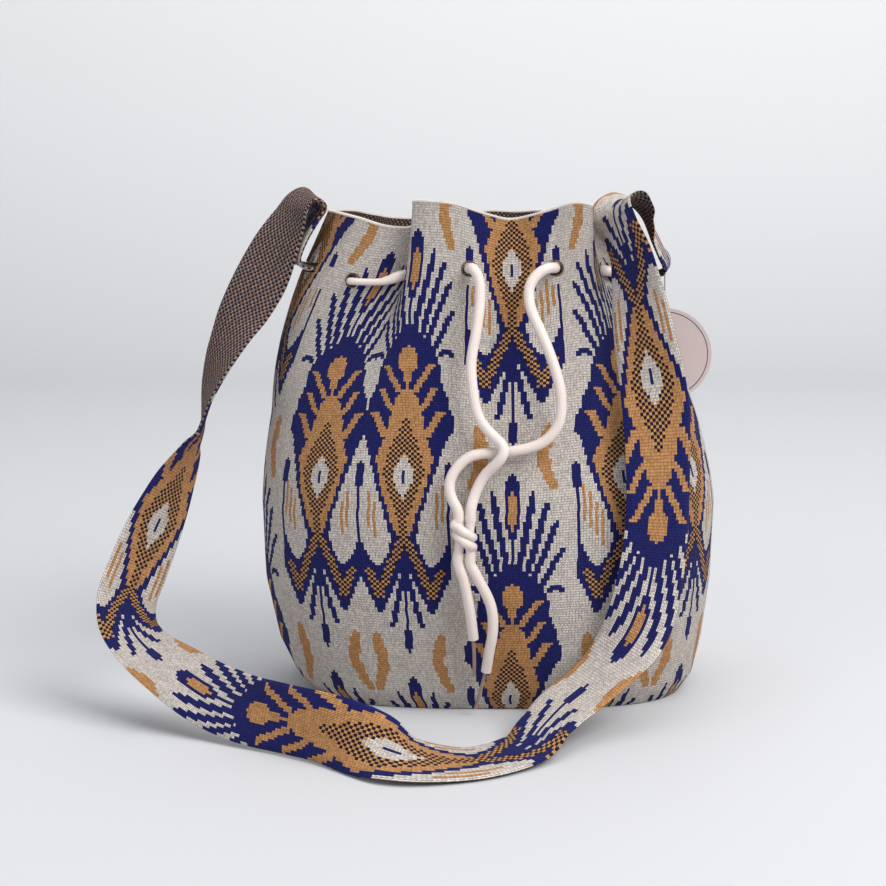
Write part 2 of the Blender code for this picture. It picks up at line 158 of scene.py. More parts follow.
plus, minus, times, timesPlus, less, close, floor, modulo, absolute, sine = [
    functools.partial(calc, operation) for operation in (
        "ADD", "SUBTRACT", "MULTIPLY", "MULTIPLY_ADD", "LESS_THAN", "COMPARE", "FLOOR", "FLOORED_MODULO",
        "ABSOLUTE", "SINE")]


def both(*masks):
    return functools.reduce(times, masks)


def either(*masks):
    return functools.reduce(functools.partial(calc, "MAXIMUM"), masks)


def without(mask, taken):
    return times(mask, minus(1.0, taken))


def newSocket(tree, way, label, kind="Float", value=None):
    socket = tree.interface.new_socket(label, in_out=way, socket_type="NodeSocket" + kind)
    if value is not None:
        socket.default_value = value


def newGroup(name, inputs, outputs):
    # A bare label is a number that starts at zero
    tree = bpy.data.node_groups.new(name, "ShaderNodeTree")
    for entry in inputs:
        newSocket(tree, "INPUT", *((entry, "Float", 0.0) if isinstance(entry, str) else entry))
    for label in outputs:
        newSocket(tree, "OUTPUT", label, "Color" if label == "Color" else "Float")
    return tree, tree.nodes.new("NodeGroupInput").outputs, tree.nodes.new("NodeGroupOutput").inputs


def placeGroup(tree, group, **values):
    return node(tree, "ShaderNodeGroup", values, node_tree=group)


def newMaterial(name, roughness, sheen=0.0, coat=0.0):
    made = bpy.data.materials.new(name)
    made.use_nodes = True
    shader = made.node_tree.nodes["Principled BSDF"]
    for label, value in (("Roughness", roughness), ("Sheen Weight", sheen), ("Coat Weight", coat)):
        shader.inputs[label].default_value = value
    return made, made.node_tree, shader


def mixColours(factor, below, above, kind="MIX"):
    return node(treeOf(factor, below, above), "ShaderNodeMix", {0: factor, 6: below, 7: above},
                data_type="RGBA", blend_type=kind).outputs[2]


def noiseOf(vector, scale, detail=2.0):
    values = {"Vector": vector, "Scale": scale, "Detail": detail}
    return node(vector.id_data, "ShaderNodeTexNoise", values).outputs["Fac"]


def addBump(shader, height, distance, strength=1.0):
    values = {"Distance": distance, "Strength": strength, "Height": height}
    bump = node(height.id_data, "ShaderNodeBump", values)
    feed(shader.inputs["Normal"], bump.outputs["Normal"])


def objectPlace(tree):
    return node(tree, "ShaderNodeTexCoord").outputs["Object"]


def apart(vector):
    return node(vector.id_data, "ShaderNodeSeparateXYZ", {0: vector}).outputs


def stitchPlace(tree):
    pair = apart(node(tree, "ShaderNodeUVMap", uv_map="stitches").outputs[0])
    return [times(pair[k], 100.0) for k in range(2)]


# The knitted ornament, one cell: wales across from its middle line, courses down from the tip of its crest

motif = {
    "repeat": 175, "halfWidth": 16.0,
    "crest": [(0, 0.6), (2, 1.2), (3, 1.7), (4.5, 2.7), (21.3, 2.7), (21.4, 1.7), (25.5, 1.7), (25.6, 0.6),
              (36, 0.6)],
    "crestCore": [(8.8, 1.7), (20.3, 1.7), (20.4, 0.6), (23, 0.6)],
    "rays": [(7.2, 7.5, 0.17), (11.6, 11.7, 0.237), (14.8, 19.2, 0.335), (16.9, 29.6, 0.46)],
    "rayTip": 0.6, "rayGrowth": 0.2, "rayHalf": 1.2, "raysEnd": 50.0,
    "outline": [(36, 2.2), (42, 6.5), (45, 10), (48.8, 11.2), (51.8, 12.2), (55.5, 12), (59.3, 13.5),
                (63.7, 15.2), (68.5, 16.2), (72, 17.7), (76, 17.4), (78.5, 15.8), (81.5, 14.6),
                (85.3, 13.3), (89.5, 12.1), (97, 9.9), (104.2, 7.9), (110.7, 6), (117.6, 4.6), (122.7, 5.6),
                (125.7, 6.9), (127.4, 7.6), (128.9, 8.8), (129.6, 9.9), (129.7, 20), (133.9, 20),
                (134, 15.6), (148.8, 9.8)],
    "belowArms": [(131.4, 2.0), (132.6, 2.1), (148.8, 8.9), (149, 20)],
    "drips": [(131, 2), (137.6, 2), (137.7, 0.6), (154.5, 0.6), (154.6, 1.7), (163, 1.7), (163.1, 0.6),
              (165, 0.6)],
    "sideDrip": {"start": 2.2, "level": 139.3, "slope": 0.218, "half": 1.05, "rows": (131, 154)},
    "hook": {"across": 14.6, "down": 48.0, "ring": (1.3, 3.1), "lowest": 48.2},
    "flare": [(88, 0.6), (89.4, 0.6), (89.5, 1.6), (98, 1.6), (98.1, 0.6), (119.5, 0.6), (122.3, 1.8),
              (127, 4.2), (129.6, 6.4)],
    "flareRows": (88, 129.6),
    "body": [(44.5, 1.6), (46.3, 2.6), (47.8, 3.6), (51.5, 3.6), (53.2, 2.6), (55, 1.7), (57.8, 1.6),
             (57.9, 0.6), (60.8, 0.6), (60.9, 2.5), (62, 2.7), (63.5, 3.3), (64.4, 4.2), (66, 4.8),
             (70, 5.5), (72, 6.2), (75.4, 6.8), (78, 7.3), (80.2, 8.3), (82, 8.8), (84.7, 9.6),
             (87.4, 10.3), (90, 9.8), (93.4, 8.9), (98.2, 7.9), (105.4, 6), (109.3, 4.6), (114.6, 3.3),
             (117.4, 2.2)],
    "fingers": [(9.3, 50.6, 0.588, 62.5, 1.3), (10.8, 59.6, 0.584, 69, 1.3), (12.8, 68.8, 0.536, 79, 1.6)],
    "check": [(72.4, 0.6), (84.7, 5.8), (90.8, 7.2), (94, 7.2), (97, 6), (101.8, 4.4), (106.6, 3.1),
              (110.7, 1.9), (115.2, 1.5), (118, 1.3)],
    "eye": [(86.4, 0.6), (88, 1.6), (90, 2.6), (91.8, 3.6), (96, 3.6), (98, 2.6), (100, 1.6), (102, 0.6)],
    "commaMiddle": [(156, 12.2), (161, 11.4), (167, 10.7), (172, 11), (176, 12.3), (182, 14.2)],
    "commaHalf": [(156, 0.6), (158, 1.4), (162, 2.2), (169, 2.1), (173, 2.2), (179, 2.0), (183, 0.5)],
    "commaRows": (150.0, 186.0), "commaTop": 155.5, "commaWrap": 20.0,
    "stripes": {"columns": (1.5, 8.5), "slope": 1.7, "middle": 100.4, "half": 6.9},
    "arms": [(-0.1, 117.0, -0.42, 1.7), (13.0, 130.4, 0.32, 1.5)], "armsEnd": 142.2,
    "pupilHalf": 0.5, "pupilRows": (91.6, 97),
}


def profile(down, points, first=0.0, last=None, widest=20.0):
    # A width that follows a list of (course, width) points, zero outside them
    last = motif["repeat"] if last is None else last
    span = last - first
    made = node(down.id_data, "ShaderNodeFloatCurve")
    curve = made.mapping.curves[0]
    edge = 0.05
    listed = [(points[0][0] - edge, 0.0)] + list(points) + [(points[-1][0] + edge, 0.0)]
    if listed[0][0] > first:
        listed = [(first, 0.0)] + listed
    if listed[-1][0] < last:
        listed = listed + [(last, 0.0)]
    placed = [((course - first) / span, width / widest) for course, width in listed]
    while len(curve.points) < len(placed):
        curve.points.new(0.5, 0.5)
    for point, place in zip(curve.points, placed):
        point.location = (min(max(place[0], 0.0), 1.0), place[1])
        point.handle_type = "VECTOR"
    made.mapping.update()
    feed(made.inputs["Value"], calc("DIVIDE", minus(down, first), span))
    return times(made.outputs[0], widest)


def slanted(x, y, start, top, slope, half):
    # A band whose middle runs inwards from (start, top) as it goes down
    middle = timesPlus(y, -slope, start + top * slope)
    off = absolute(minus(x, middle))
    return both(less(off, half), calc("GREATER_THAN", y, top - 0.1))


def between(value, low, high):
    return close(value, (low + high) / 2, (high - low) / 2)


def makeMotifGroup():
    tree, given, result = newGroup("knitMotif", ("Across", "Down"), ("Navy", "Tan", "Dark"))
    x = absolute(given["Across"])
    y = given["Down"]
    edge = minus(motif["halfWidth"], x)

    def inside(name):
        return less(x, profile(y, motif[name]))

    # Navy: crest, rays, outline with its petals, drips, hook and the line between cells
    rays = []
    for start, top, slope in motif["rays"]:
        half = timesPlus(y, motif["rayGrowth"], motif["rayTip"] - top * motif["rayGrowth"])
        half = calc("MINIMUM", motif["rayHalf"], half)
        rays.append(both(slanted(x, y, start, top, slope, half), less(y, motif["raysEnd"])))
    outline = without(inside("outline"), inside("belowArms"))
    side = motif["sideDrip"]
    middle = timesPlus(y, side["slope"], side["start"] - side["level"] * side["slope"])
    drip = both(close(x, middle, side["half"]), between(y, *side["rows"]))
    turn = motif["hook"]
    away = [minus(x, turn["across"]), minus(y, turn["down"])]
    far = calc("SQRT", plus(*[times(value, value) for value in away]))
    hook = both(between(far, *turn["ring"]), less(y, turn["lowest"]))
    flare = both(less(edge, profile(y, motif["flare"])), between(y, *motif["flareRows"]))
    navy = either(inside("crest"), outline, drip, inside("drips"), hook, flare, *rays)

    # Tan: crest core, body, fingers, stripes in the pale petals and commas
    fingers = [both(slanted(x, y, start, top, slope, half), less(y, float(bottom)))
               for start, top, slope, bottom, half in motif["fingers"]]
    even = less(modulo(edge, 2.0), 0.5)
    lines = motif["stripes"]
    stripeMiddle = timesPlus(edge, lines["slope"], lines["middle"])
    stripe = both(even, between(edge, *lines["columns"]), close(y, stripeMiddle, lines["half"]))
    late = timesPlus(less(y, motif["commaWrap"]), float(motif["repeat"]), y)
    middle, half = [profile(late, motif[name], *motif["commaRows"]) for name in ("commaMiddle", "commaHalf")]
    comma = both(less(absolute(minus(x, middle)), half), calc("GREATER_THAN", late, motif["commaTop"]))
    tan = either(inside("crestCore"), inside("body"), stripe, comma, *fingers)

    # Checked diamond and arms, with the pale eye in the middle
    arms = [slanted(x, y, *line) for line in motif["arms"]]
    arms = both(either(*arms), less(y, motif["armsEnd"]))
    checked = either(inside("check"), arms)
    count = plus(floor(plus(x, 0.5)), floor(y))
    parity = less(modulo(count, 2.0), 0.5)
    eye = inside("eye")
    pupil = both(less(x, motif["pupilHalf"]), between(y, *motif["pupilRows"]))
    dark = without(both(checked, parity), eye)
    tan = without(without(either(tan, checked), dark), eye)
    navy = without(without(without(navy, tan), dark), eye)
    for label, mask in (("Navy", either(navy, pupil)), ("Tan", tan), ("Dark", dark)):
        feed(result[label], mask)
    return tree


# How the cells lie round the bag: one upright cell, then two shifted ones, four times round

layout = {"wales": 432, "repeatWales": 108, "secondAt": 38, "crestCourse": 191, "shift": 91,
          "waleWidth": 0.0015625, "courseHeight": 0.0014, "wideUntil": 88.0, "border": (22.0, 16.0),
          "firstWidth": (21.5, 16.5), "barHalf": 1.5, "barRows": (89.5, 98),
          "patch": {"half": 3.5, "course": 176.5, "courses": 4.3, "rows": (80, 110)}}


def makeWallGroup(motifGroup):
    tree, given, result = newGroup("wallLayout", ("Wale", "Course"), ("Navy", "Tan", "Dark"))
    wale = floor(plus(given["Wale"], 0.5))
    course = plus(floor(given["Course"]), 0.5)
    away = calc("PINGPONG", wale, layout["repeatWales"] / 2)
    repeat = float(motif["repeat"])
    downSecond = modulo(minus(float(layout["crestCourse"]), course), repeat)
    downFirst = modulo(minus(downSecond, float(layout["shift"])), repeat)
    secondWide = less(downSecond, layout["wideUntil"])
    border, firstWidth = [timesPlus(secondWide, narrow - wide, wide)
                          for wide, narrow in (layout["border"], layout["firstWidth"])]
    first = less(away, firstWidth)
    acrossSecond = absolute(minus(away, float(layout["secondAt"])))

    def pick(mask, chosen, other):
        values = {"Factor": mask, "A": other, "B": chosen}
        return node(tree, "ShaderNodeMix", values, data_type="FLOAT").outputs["Result"]

    cell = placeGroup(tree, motifGroup, Across=pick(first, away, acrossSecond),
                      Down=pick(first, downFirst, downSecond))
    fromBorder = absolute(minus(away, border))
    downBorder = pick(secondWide, downFirst, downSecond)
    bar = both(less(fromBorder, layout["barHalf"]), between(downBorder, *layout["barRows"]))
    bare = layout["patch"]
    patch = both(less(fromBorder, bare["half"]), close(course, bare["course"], bare["courses"]),
                 between(downBorder, *bare["rows"]))
    for label in ("Navy", "Tan", "Dark"):
        mask = cell.outputs[label]
        mask = either(mask, bar) if label == "Navy" else mask
        feed(result[label], without(mask, patch))
    return tree


# Stitch relief: two slanted legs to a stitch, and painted shade in the gaps between them

def makeStitchGroup():
    tree, given, result = newGroup("stitchRelief", ("Wale", "Course", ("Slant", "Float", 0.9)),
                                   ("Height", "Gap"))
    across = minus(calc("FRACT", plus(given["Wale"], 0.5)), 0.5)
    side = absolute(across)
    leg = times(minus(side, 0.25), 4.0)
    ridge = minus(1.0, times(leg, leg))
    slide = calc("FRACT", plus(given["Course"], times(side, given["Slant"])))
    swell = sine(times(slide, math.pi))
    height = times(calc("POWER", calc("MAXIMUM", ridge, 0.0), 0.5), timesPlus(swell, 0.6, 0.4))
    feed(result["Height"], height)
    # Painted shade: the lower the relief, the more the gap between legs is darkened
    feed(result["Gap"], minus(1.0, times(height, 1.15)))
    return tree


# Yarn colours over a set of masks, with uneven dye and painted shade in the gaps between stitch legs

yarn = {"Cream": (0.92, 0.845, 0.765, 1), "Navy": (0.012, 0.016, 0.170, 1), "Tan": (0.76, 0.385, 0.150, 1),
        "Dark": (0.014, 0.009, 0.022, 1), "grain": 900.0, "dye": 0.16, "single": 0.5, "gap": 0.8,
        "dyeShade": (0.25, 0.22, 0.26, 1), "singleShade": (0.30, 0.28, 0.30, 1),
        "gapShade": (0.20, 0.16, 0.16, 1), "relief": 0.0008}
# The reverse face's yarns: the front yarns darkened, painted shade for the strap's back and the bag's inside
shadedReverseYarn = {"Cream": (0.44, 0.335, 0.275, 1), "Navy": (0.013, 0.012, 0.045, 1),
               "Tan": (0.42, 0.215, 0.110, 1)}


def makeYarnGroup():
    marks = ("Navy", "Tan", "Dark")
    tree, given, result = newGroup(
        "yarnColours", marks + ("Gap", ("Place", "Vector"), ("Stitch", "Vector"))
        + tuple((label + " Yarn", "Color", yarn[label]) for label in ("Cream",) + marks), ("Color",))
    colour = given["Cream Yarn"]
    for label in marks:
        colour = mixColours(given[label], colour, given[label + " Yarn"])
    uneven = noiseOf(given["Place"], yarn["grain"])
    dye = node(tree, "ShaderNodeMapRange", {"Value": uneven, "From Min": 0.3, "From Max": 0.7, "To Min": 0.0,
                                            "To Max": yarn["dye"]})
    single = node(tree, "ShaderNodeTexWhiteNoise", {"Vector": given["Stitch"]}, noise_dimensions="3D")
    lightness = times(single.outputs["Value"], yarn["single"])
    # Painted shade in the gaps between stitch legs: the yarn gap amount and gapShade darken where the relief
    # is low
    gap = times(calc("MAXIMUM", given["Gap"], 0.0), yarn["gap"])
    for amount, shade in ((dye.outputs["Result"], "dyeShade"), (lightness, "singleShade"), (gap, "gapShade")):
        colour = mixColours(amount, colour, yarn[shade], "MULTIPLY")
    feed(result["Color"], colour)
    return tree


# Reverse of the jacquard: navy on every second stitch, tan and cream between

def makeReverseGroup():
    tree, given, result = newGroup("reverseFloats", ("Wale", "Course"), ("Navy", "Tan"))
    wale = floor(plus(given["Wale"], 0.5))
    course = floor(given["Course"])
    turn = modulo(plus(wale, course), 2.0)
    third = floor(calc("DIVIDE", wale, 3.0))
    other = modulo(plus(course, third), 2.0)
    navy = less(turn, 0.5)
    feed(result["Navy"], navy)
    feed(result["Tan"], without(less(other, 0.5), navy))
    return tree


motifGroup = makeMotifGroup()
wallGroup = makeWallGroup(motifGroup)
stitchGroup = makeStitchGroup()
yarnGroup = makeYarnGroup()
reverseGroup = makeReverseGroup()
print("node groups built")


def knitMaterial(title, kind):
    made, tree, shader = newMaterial(title, 0.9, sheen=0.04)
    shader.inputs["Specular IOR Level"].default_value = 0.15
    wale, course = stitchPlace(tree)
    if kind == "wall":
        marks = placeGroup(tree, wallGroup, Wale=wale, Course=course)
    elif kind == "strap":
        stepped = floor(plus(wale, 0.5))
        down = plus(floor(course), 0.5)
        marks = placeGroup(tree, motifGroup, Across=stepped, Down=modulo(down, float(motif["repeat"])))
    else:
        marks = placeGroup(tree, reverseGroup, Wale=wale, Course=course)
    stitch = placeGroup(tree, stitchGroup, Wale=wale, Course=course)
    single = node(tree, "ShaderNodeCombineXYZ", {0: floor(timesPlus(wale, 2.0, 0.5)), 1: floor(course)})
    colours = placeGroup(tree, yarnGroup, Gap=stitch.outputs["Gap"], Place=objectPlace(tree),
                         Stitch=single.outputs[0])
    # Painted shade: the reverse face takes the darkened yarns
    if kind == "reverse":
        for label, value in shadedReverseYarn.items():
            colours.inputs[label + " Yarn"].default_value = value
    for label in ("Navy", "Tan", "Dark"):
        if label in marks.outputs:
            feed(colours.inputs[label], marks.outputs[label])
    feed(shader.inputs["Base Color"], colours.outputs["Color"])
    addBump(shader, stitch.outputs["Height"], yarn["relief"])
    return made


# Wall of the bag: the same surface as the CAD wall, one column to each wale

wall = {"thick": 0.0026, "rimHeight": 0.275, "foldStart": 0.125, "foldGrowth": 2.2, "frontAxis": 0.0115,
        "rows": 84, "samples": 116, "ovalSteps": 1440}
levels = np.array([
    (0, 5.5, 105, 61, 3), (10, 4, 114, 66, 2.8), (30, 1.5, 121.5, 71, 2.55), (65, 0, 127.5, 76, 2.4),
    (110, 0, 129, 78, 2.3), (125, -0.5, 127.5, 76.5, 2.3), (160, -2.4, 122.5, 70, 2.2),
    (185, -5.9, 120.5, 65, 2.15), (205, -7.4, 119.5, 60.5, 2.1), (240, -9.5, 117.5, 55, 2),
    (285, -10, 110, 50, 2)])
mouthPoints = [
    (11, -45, 270), (28, -50, 274), (44, -53, 279), (53, -50, 277.5), (52, -38, 274), (47, -27, 272),
    (53, -17, 270), (68, -16, 268), (78, -8, 266), (81, 8, 267), (74, 24, 270), (60, 36, 274),
    (46, 38, 274), (38, 27, 271), (30, 36, 271), (18, 46, 270), (0, 47, 270.5), (-12, 40, 268),
    (-19, 27, 267), (-27, 40, 266), (-42, 46, 266), (-58, 42, 267), (-66, 30, 269), (-76, 31, 271),
    (-84, 20, 272), (-90, 4, 272), (-85, -12, 272), (-72, -25, 269.5), (-59, -34, 266), (-48, -37, 265),
    (-39, -36, 266), (-31.5, -33, 267.5), (-26.5, -34.5, 269.5), (-26.5, -39.5, 272), (-32.5, -43.5, 275),
    (-40, -47.5, 278), (-40.5, -53, 280), (-33, -56, 280), (-20, -55, 278.5), (-3, -50, 273)]


def oval(height, columns):
    table = levels.copy()
    table[:, :4] *= 0.001
    cx, a, b, power = (np.interp(height, table[:, 0], table[:, k]) for k in range(1, 5))
    turn = np.radians(np.linspace(-90, 270, wall["ovalSteps"], endpoint=False))
    x = cx + a * np.sign(np.cos(turn)) * np.abs(np.cos(turn)) ** (2 / power)
    y = b * np.sign(np.sin(turn)) * np.abs(np.sin(turn)) ** (2 / power)
    first = int(np.argmin(np.where(y < 0, np.abs(x - wall["frontAxis"]), np.inf)))
    return evenly(np.roll(np.column_stack([x, y]), -first, axis=0), columns, True, True)


def wallRows(shares, columns):
    top = evenly(smoothCurve(metres(mouthPoints), 10, True), columns, True, True)
    rows = []
    for share in shares:
        z = share * wall["rimHeight"]
        rise = (z - wall["foldStart"]) / (wall["rimHeight"] - wall["foldStart"])
        fold = max(0.0, rise) ** wall["foldGrowth"]
        row = oval(z, columns) * (1 - fold) + top[:, :2] * fold
        high = share * (wall["rimHeight"] + (top[:, 2] - wall["rimHeight"]) * share)
        rows.append(np.column_stack([row, high]))
    return np.array(rows)


def outward(rows):
    across = np.roll(rows, -1, axis=1) - np.roll(rows, 1, axis=1)
    normal = np.cross(across, np.gradient(rows, axis=0))
    return normal / np.linalg.norm(normal, axis=2, keepdims=True)


def wallAt(shareRound, shareHigh, step=0.03):
    # Point on the wall's middle and the level direction out of it there
    count = wall["samples"]
    rows = wallRows([shareHigh - step, shareHigh, shareHigh + step], count)
    normal = outward(rows)
    at = shareRound * count
    low, part = int(at) % count, at - int(at)
    high = (low + 1) % count
    point = rows[1, low] * (1 - part) + rows[1, high] * part
    facing = normal[1, low] * (1 - part) + normal[1, high] * part
    facing[2] = 0
    return point, facing / np.linalg.norm(facing)


# How far the gathers shift the knit: shares of the height, then wales from the front centre and shifts there

gathers = {"frontColumns": 40, "heights": (0.3, 0.5, 0.6, 0.7, 0.8, 0.885, 1.0),
           "wales": (-170, -105, -78, -41, -19, 0, 20, 42, 120),
           "shifts": ((0, 0, -0.8, -0.8, -0.4, 0, -1, -2.3, 0), (0, 1, 0.9, 0.9, 0.6, 0.2, -0.4, -2.5, 0),
                      (0, 4, 3.5, 2.3, 1.6, 0, -2.8, -5.9, 0), (0, 9, 7.7, 3.6, 2.9, 0, -4.8, -7.4, 0),
                      (0, 10.5, 8.7, 4.7, 3.5, 0, -4.7, -6.5, 0), (0, 12.5, 8, 3.3, 3.4, 0, -4, 0.6, 0),
                      (0, 17, 12.9, 3.3, 3.2, 0, -3.9, 0, 0))}


def stitchPlaces(rows, shares):
    # Wale and course of every grid point
    columns = rows.shape[1]
    wale = np.arange(columns + 1) / columns * layout["wales"]
    near = np.where(wale > layout["wales"] / 2, wale - layout["wales"], wale)
    table = np.array(gathers["shifts"], float)
    front = np.r_[0:gathers["frontColumns"], columns - gathers["frontColumns"]:columns]
    steps = np.mean(np.linalg.norm(np.diff(rows[:, front], axis=0), axis=2), axis=1)
    climb = np.concatenate([[0], np.cumsum(steps)])
    wales, courses = [], []
    for high, path in zip(shares, climb):
        shift = [np.interp(high, gathers["heights"], table[:, k]) for k in range(table.shape[1])]
        wales.append(wale + np.interp(near, gathers["wales"], shift))
        courses.append(np.full(columns + 1, path / layout["courseHeight"]))
    return np.array(wales), np.array(courses)


def makeWall():
    columns = layout["wales"]
    shares = np.linspace(0, 1, wall["rows"])
    rows = wallRows(shares, columns)
    normal = outward(rows)
    skins = [(rows + normal * side * wall["thick"] / 2).reshape(-1, 3) for side in (1, -1)]
    skins[0][:columns, 2] = skins[1][:columns, 2] = rows[0, 0, 2]
    wales, courses = stitchPlaces(rows, shares)
    inner = len(shares) * columns
    faces, looks, stitches = [], [], []

    def corner(i, j):
        return (wales[i, j], courses[i, j])

    for i in range(len(shares) - 1):
        for j in range(columns):
            k = (j + 1) % columns
            quad = (i * columns + j, i * columns + k, (i + 1) * columns + k, (i + 1) * columns + j)
            spots = [corner(i, j), corner(i, j + 1), corner(i + 1, j + 1), corner(i + 1, j)]
            faces += [quad, tuple(inner + q for q in reversed(quad))]
            looks += [0, 1]
            stitches += spots + spots[::-1]
    for i, flip in ((0, True), (len(shares) - 1, False)):
        for j in range(columns):
            k = (j + 1) % columns
            quad = [i * columns + j, i * columns + k, inner + i * columns + k, inner + i * columns + j]
            spots = [corner(i, j), corner(i, j + 1), corner(i, j + 1), corner(i, j)]
            faces.append(quad[::-1] if flip else quad)
            looks.append(1)
            stitches += spots[::-1] if flip else spots
    finishes = [knitMaterial("knitFront", "wall"), knitMaterial("knitReverse", "reverse")]
    return meshPiece("knit_wall", np.vstack(skins), faces, finishes, looks, stitches)


holes = {"height": 0.885, "radius": 0.0039, "depth": 0.0112, "sides": 24,
         "shares": (0.956, 0.852, 0.790, 0.612, 0.547, 0.487, 0.4525, 0.3665, 0.3145, 0.150, 0.1207, 0.045)}
slits = {"size": (0.026, 0.0384, 0.0052), "places": ((-101.5, 1, 241.9, 6), (92, -0.4, 237, -11))}


def makeCutters():
    # One hidden body for all the round holes and both slits
    shape = bmesh.new()
    for share in holes["shares"]:
        point, facing = wallAt(share, holes["height"])
        turn = Vector(facing).to_track_quat("Z", "Y").to_matrix().to_4x4()
        turn.translation = Vector(point)
        bmesh.ops.create_cone(shape, cap_ends=True, segments=holes["sides"], radius1=holes["radius"],
                              radius2=holes["radius"], depth=holes["depth"], matrix=turn)
    for x, y, z, heading in slits["places"]:
        angle = math.radians(heading)
        made = bmesh.ops.create_cube(shape, size=1.0)["verts"]
        for v in made:
            dx, dy, dz = (c * s for c, s in zip(v.co, slits["size"]))
            v.co = (x * 0.001 + dx * math.cos(angle) - dy * math.sin(angle),
                    y * 0.001 + dx * math.sin(angle) + dy * math.cos(angle), z * 0.001 + dz)
    mesh = bpy.data.meshes.new("cutting_bodies")
    shape.to_mesh(mesh)
    shape.free()
    return linkNew("cutting_bodies", mesh)


def cutAway(piece, cutter):
    step = piece.modifiers.new("openings", "BOOLEAN")
    step.operation = "DIFFERENCE"
    step.solver = "EXACT"
    step.object = cutter
    evaluated = piece.evaluated_get(bpy.context.evaluated_depsgraph_get())
    mesh = bpy.data.meshes.new_from_object(evaluated)
    piece.modifiers.remove(step)
    old = piece.data
    piece.data = mesh
    bpy.data.meshes.remove(old)
    bpy.data.objects.remove(cutter)


knitWall = makeWall()
cutAway(knitWall, makeCutters())
standIn(knitWall, "bag_body")
print("knitted wall:", len(knitWall.data.polygons), "faces")


# Base: a stiffened canvas panel inside the foot of the wall

base = {"inset": 0.0017, "thick": 0.003, "round": 0.0006, "columns": 144, "thread": 0.0011,
        "colour": (0.50, 0.45, 0.39, 1), "shade": (0.36, 0.31, 0.26, 1)}


def canvasMaterial():
    # Plain weave from the object's own x and y
    made, tree, shader = newMaterial("baseCanvas", 0.92)
    place = objectPlace(tree)
    x, y, _ = apart(place)
    waves = [sine(times(way, 2 * math.pi / base["thread"])) for way in (x, y)]
    weave = timesPlus(times(*waves), 0.5, 0.5)
    worn = times(weave, noiseOf(place, 400.0))
    feed(shader.inputs["Base Color"], mixColours(worn, base["colour"], base["shade"]))
    addBump(shader, weave, 0.0002)
    return made


def makeBase():
    columns = base["columns"]
    outline = wallRows([0.0, 0.01], columns)
    inward = -outward(outline)[0]
    inward[:, 2] = 0
    deep, thick = base["round"], base["thick"]
    verts, faces = [], []
    for inset, high in ((deep, 0), (0, deep), (0, thick - deep), (deep, thick)):
        ring = outline[0] + inward * (base["inset"] + inset)
        ring[:, 2] = high
        verts.extend(ring)
    for level in range(3):
        for k in range(columns):
            a, b = level * columns + k, level * columns + (k + 1) % columns
            faces.append((a, b, b + columns, a + columns))
    faces += [tuple(reversed(range(columns))), tuple(range(3 * columns, 4 * columns))]
    piece = meshPiece("base_canvas", verts, faces, [canvasMaterial()])
    turnOutwards(piece)
    return piece


baseCanvas = makeBase()
standIn(baseCanvas, "base_panel")


# Strap: x, y, z of its middle in mm, heading and tilt of its width in degrees

strap = {"width": 0.036, "thick": 0.0028, "square": 10, "steps": 8, "across": 24, "courseHeight": 0.0016,
         "marksAt": (0.3038, 0.3427, 0.4220, 0.4655, 0.5478, 0.6508, 0.7108, 0.7815, 0.8630, 0.9028),
         "courses": (94, 117.5, 189, 224.5, 269, 321, 355, 399.5, 444, 467.5)}
strapPath = [
    (-99, 4, 206, -87, 0), (-96.5, 4, 220, -86, 0), (-93, 4, 231, -85, 0), (-90.5, 3.5, 238, -84, 0),
    (-93, 2.5, 241.2, -83, 0), (-101.5, 0.5, 241.6, -81, 0), (-107.5, -2, 243.2, -78, 0),
    (-109.5, -3.5, 248, -77, 0), (-105.5, -4, 258, -77, 0), (-99.5, -4, 269, -76, -2),
    (-95.8, -4, 277, -74, -6), (-101, -5, 281.5, -72, -10), (-108, -6, 277.5, -70, -14),
    (-113, -7, 268, -60, -20), (-120, -10, 254, -46, -22), (-128, -14, 236, -34, -21),
    (-137, -18, 219, -38, -17), (-144, -22, 206, -49, -11), (-151, -26, 191, -62, -9),
    (-157, -30, 173, -76, -7), (-161, -34, 153, -89, -3), (-166, -37, 143, -102, 6),
    (-172, -40, 131, -116, 12), (-179, -45, 116, -130, 16), (-187, -50, 98, -143, 18),
    (-195, -56, 78, -149, 18), (-200, -63, 63, -146, 12), (-198, -72, 50, -138, 0),
    (-188, -81, 40, -128, -14), (-171, -92, 31, -120, -32), (-152, -105, 23, -112, -48),
    (-131, -121, 19, -102, -64), (-108, -137, 18.6, -92, -76), (-86, -152, 18.4, -86, -74),
    (-63, -165, 14.6, -82, -50), (-42, -170, 8.6, -80, -22), (-15, -163, 3.8, -86, -6),
    (5, -151, 3, -88, -4), (18, -139, 4.8, -88, -8), (27, -125, 10, -84, -12), (38, -112, 17, -74, -16),
    (52, -101, 25, -62, -16), (67, -92, 37, -40, -10), (79, -86, 54, -12, -3), (86, -80, 78, 6, 0),
    (89.5, -76, 106, 12, 0), (90, -74, 133, 12, 0), (89, -72, 162, 2, -2), (86, -70, 187, -18, -2),
    (82, -68, 207, -30, 2), (78.5, -62, 230, -44, 4), (75, -57, 249, -56, 4), (70, -49, 264, -66, 2),
    (68, -41, 273, -72, 0), (71, -32, 278.5, -78, 0), (78, -23, 278, -84, 0), (85, -16, 271.5, -92, 0),
    (90.5, -10, 262, -99, 0), (96, -6, 252, -101, 0), (100, -3.5, 243.5, -101, 0),
    (98.5, -2, 238.6, -101, 0), (92, -0.4, 236.8, -101, 0), (84, 2, 236.4, -101, 0),
    (79, 3, 233.8, -101, 0), (78.5, 3, 229, -100, 0), (83, 3, 218, -98, 0), (87, 3, 205, -94, 0)]


